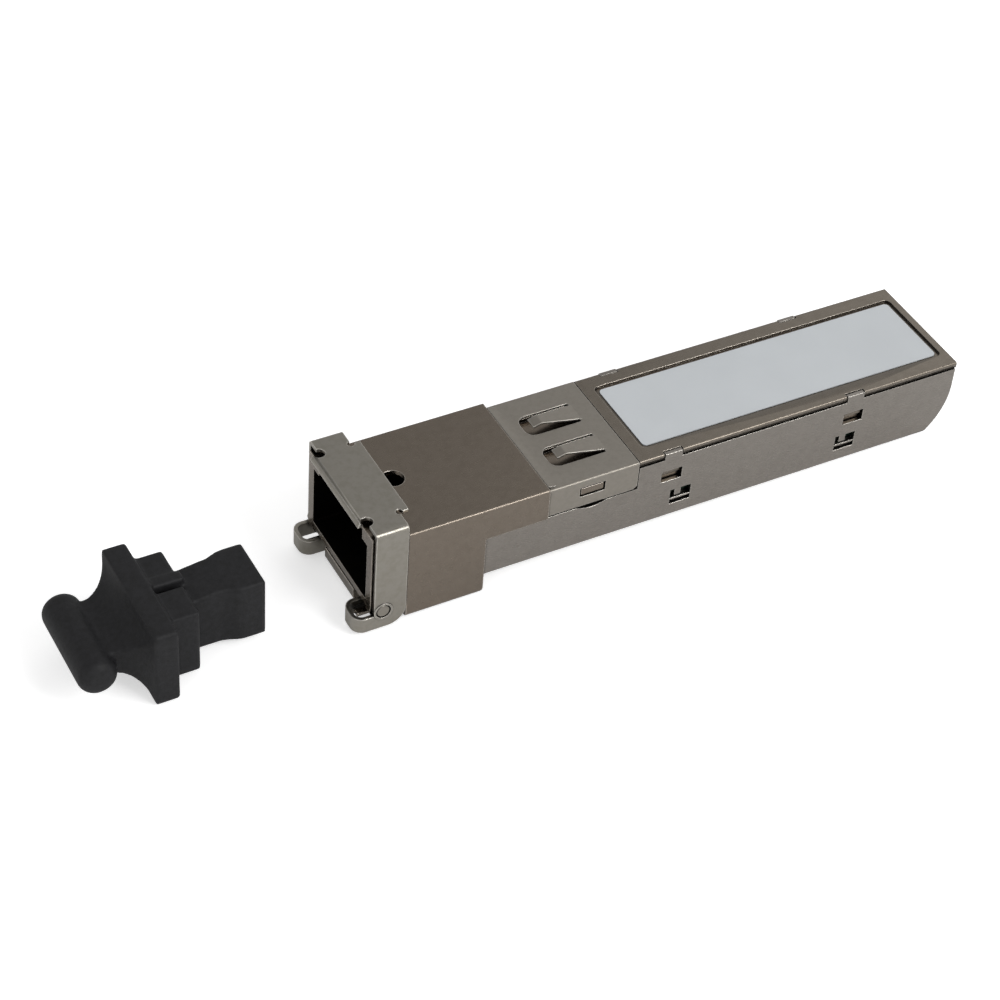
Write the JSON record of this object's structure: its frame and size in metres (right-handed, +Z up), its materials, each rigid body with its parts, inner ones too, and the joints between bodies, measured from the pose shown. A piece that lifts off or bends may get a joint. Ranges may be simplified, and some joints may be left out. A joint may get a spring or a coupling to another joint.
{
  "type": "sfp transceiver",
  "caption": "Slim pluggable copper transceiver with a modular jack, shielding collar, folding bail with coupled latch slide, blank label and separate dust plug.",
  "frame": {"origin": "on the centre line, level with the underside of the plug-in section, at the shoulder that stops in the cage", "axes": "+X from the jack towards the card edge, along the way the module is pushed in; +Z up from the underside to the label"},
  "size_m": [0.0947, 0.015, 0.0135],
  "materials": {
    "cast_housing": "nickel plated die casting, satin, warm grey",
    "shell_steel": "nickel plated sheet, satin",
    "collar_steel": "bright spring sheet, satin",
    "cover_steel": "nickel plated sheet, satin, warm grey",
    "label_film": "silver film, matt, blank",
    "bail_steel": "stainless spring sheet, satin",
    "pin_steel": "turned pin, satin",
    "slide_metal": "die cast, satin",
    "jack_plastic": "moulded black",
    "gold_contact": "gold plated",
    "board_laminate": "green solder mask",
    "chip_plastic": "black moulding compound",
    "can_metal": "seam welded can",
    "thermal_putty": "soft grey pad",
    "capacitor_ceramic": "tan ceramic",
    "plug_rubber": "moulded black elastomer, matt"
  },
  "bodies": {
    "root": {"front_housing": "cast_housing", "lower_shell": "shell_steel", "emi_collar": "collar_steel", "top_cover": "cover_steel", "label": "label_film", "pivot_pin_near": "pin_steel", "pivot_pin_far": "pin_steel", "jack_insert": "jack_plastic", "jack_contacts": "gold_contact", "circuit_board": "board_laminate", "edge_contacts_top": "gold_contact", "edge_contacts_bottom": "gold_contact", "transformer_module": "chip_plastic", "network_chip": "chip_plastic", "memory_chip": "chip_plastic", "voltage_regulator": "chip_plastic", "power_inductor": "chip_plastic", "clock_crystal": "can_metal", "thermal_pad": "thermal_putty", "line_chokes": "chip_plastic", "capacitors": "capacitor_ceramic", "resistors": "chip_plastic", "dust_plug": "plug_rubber"},
    "bail": {"bail": "bail_steel"},
    "latch_slide": {"latch_slide": "slide_metal"}
  },
  "joints": [
    {"name": "bail_hinge", "type": "hinge", "parent": "root", "child": "bail", "pos_m": [-0.0176, 0, 0.0004], "axis": [0, -1, 0], "range_deg": [0, 90]},
    {"name": "latch_slide_travel", "type": "slide", "parent": "root", "child": "latch_slide", "axis": [1, 0, 0], "range_m": [0, 0.0018]}
  ],
  "couplings": [
    {"joint": "latch_slide_travel", "follows": "bail_hinge", "m_per_rad": 0.0011459}
  ]
}
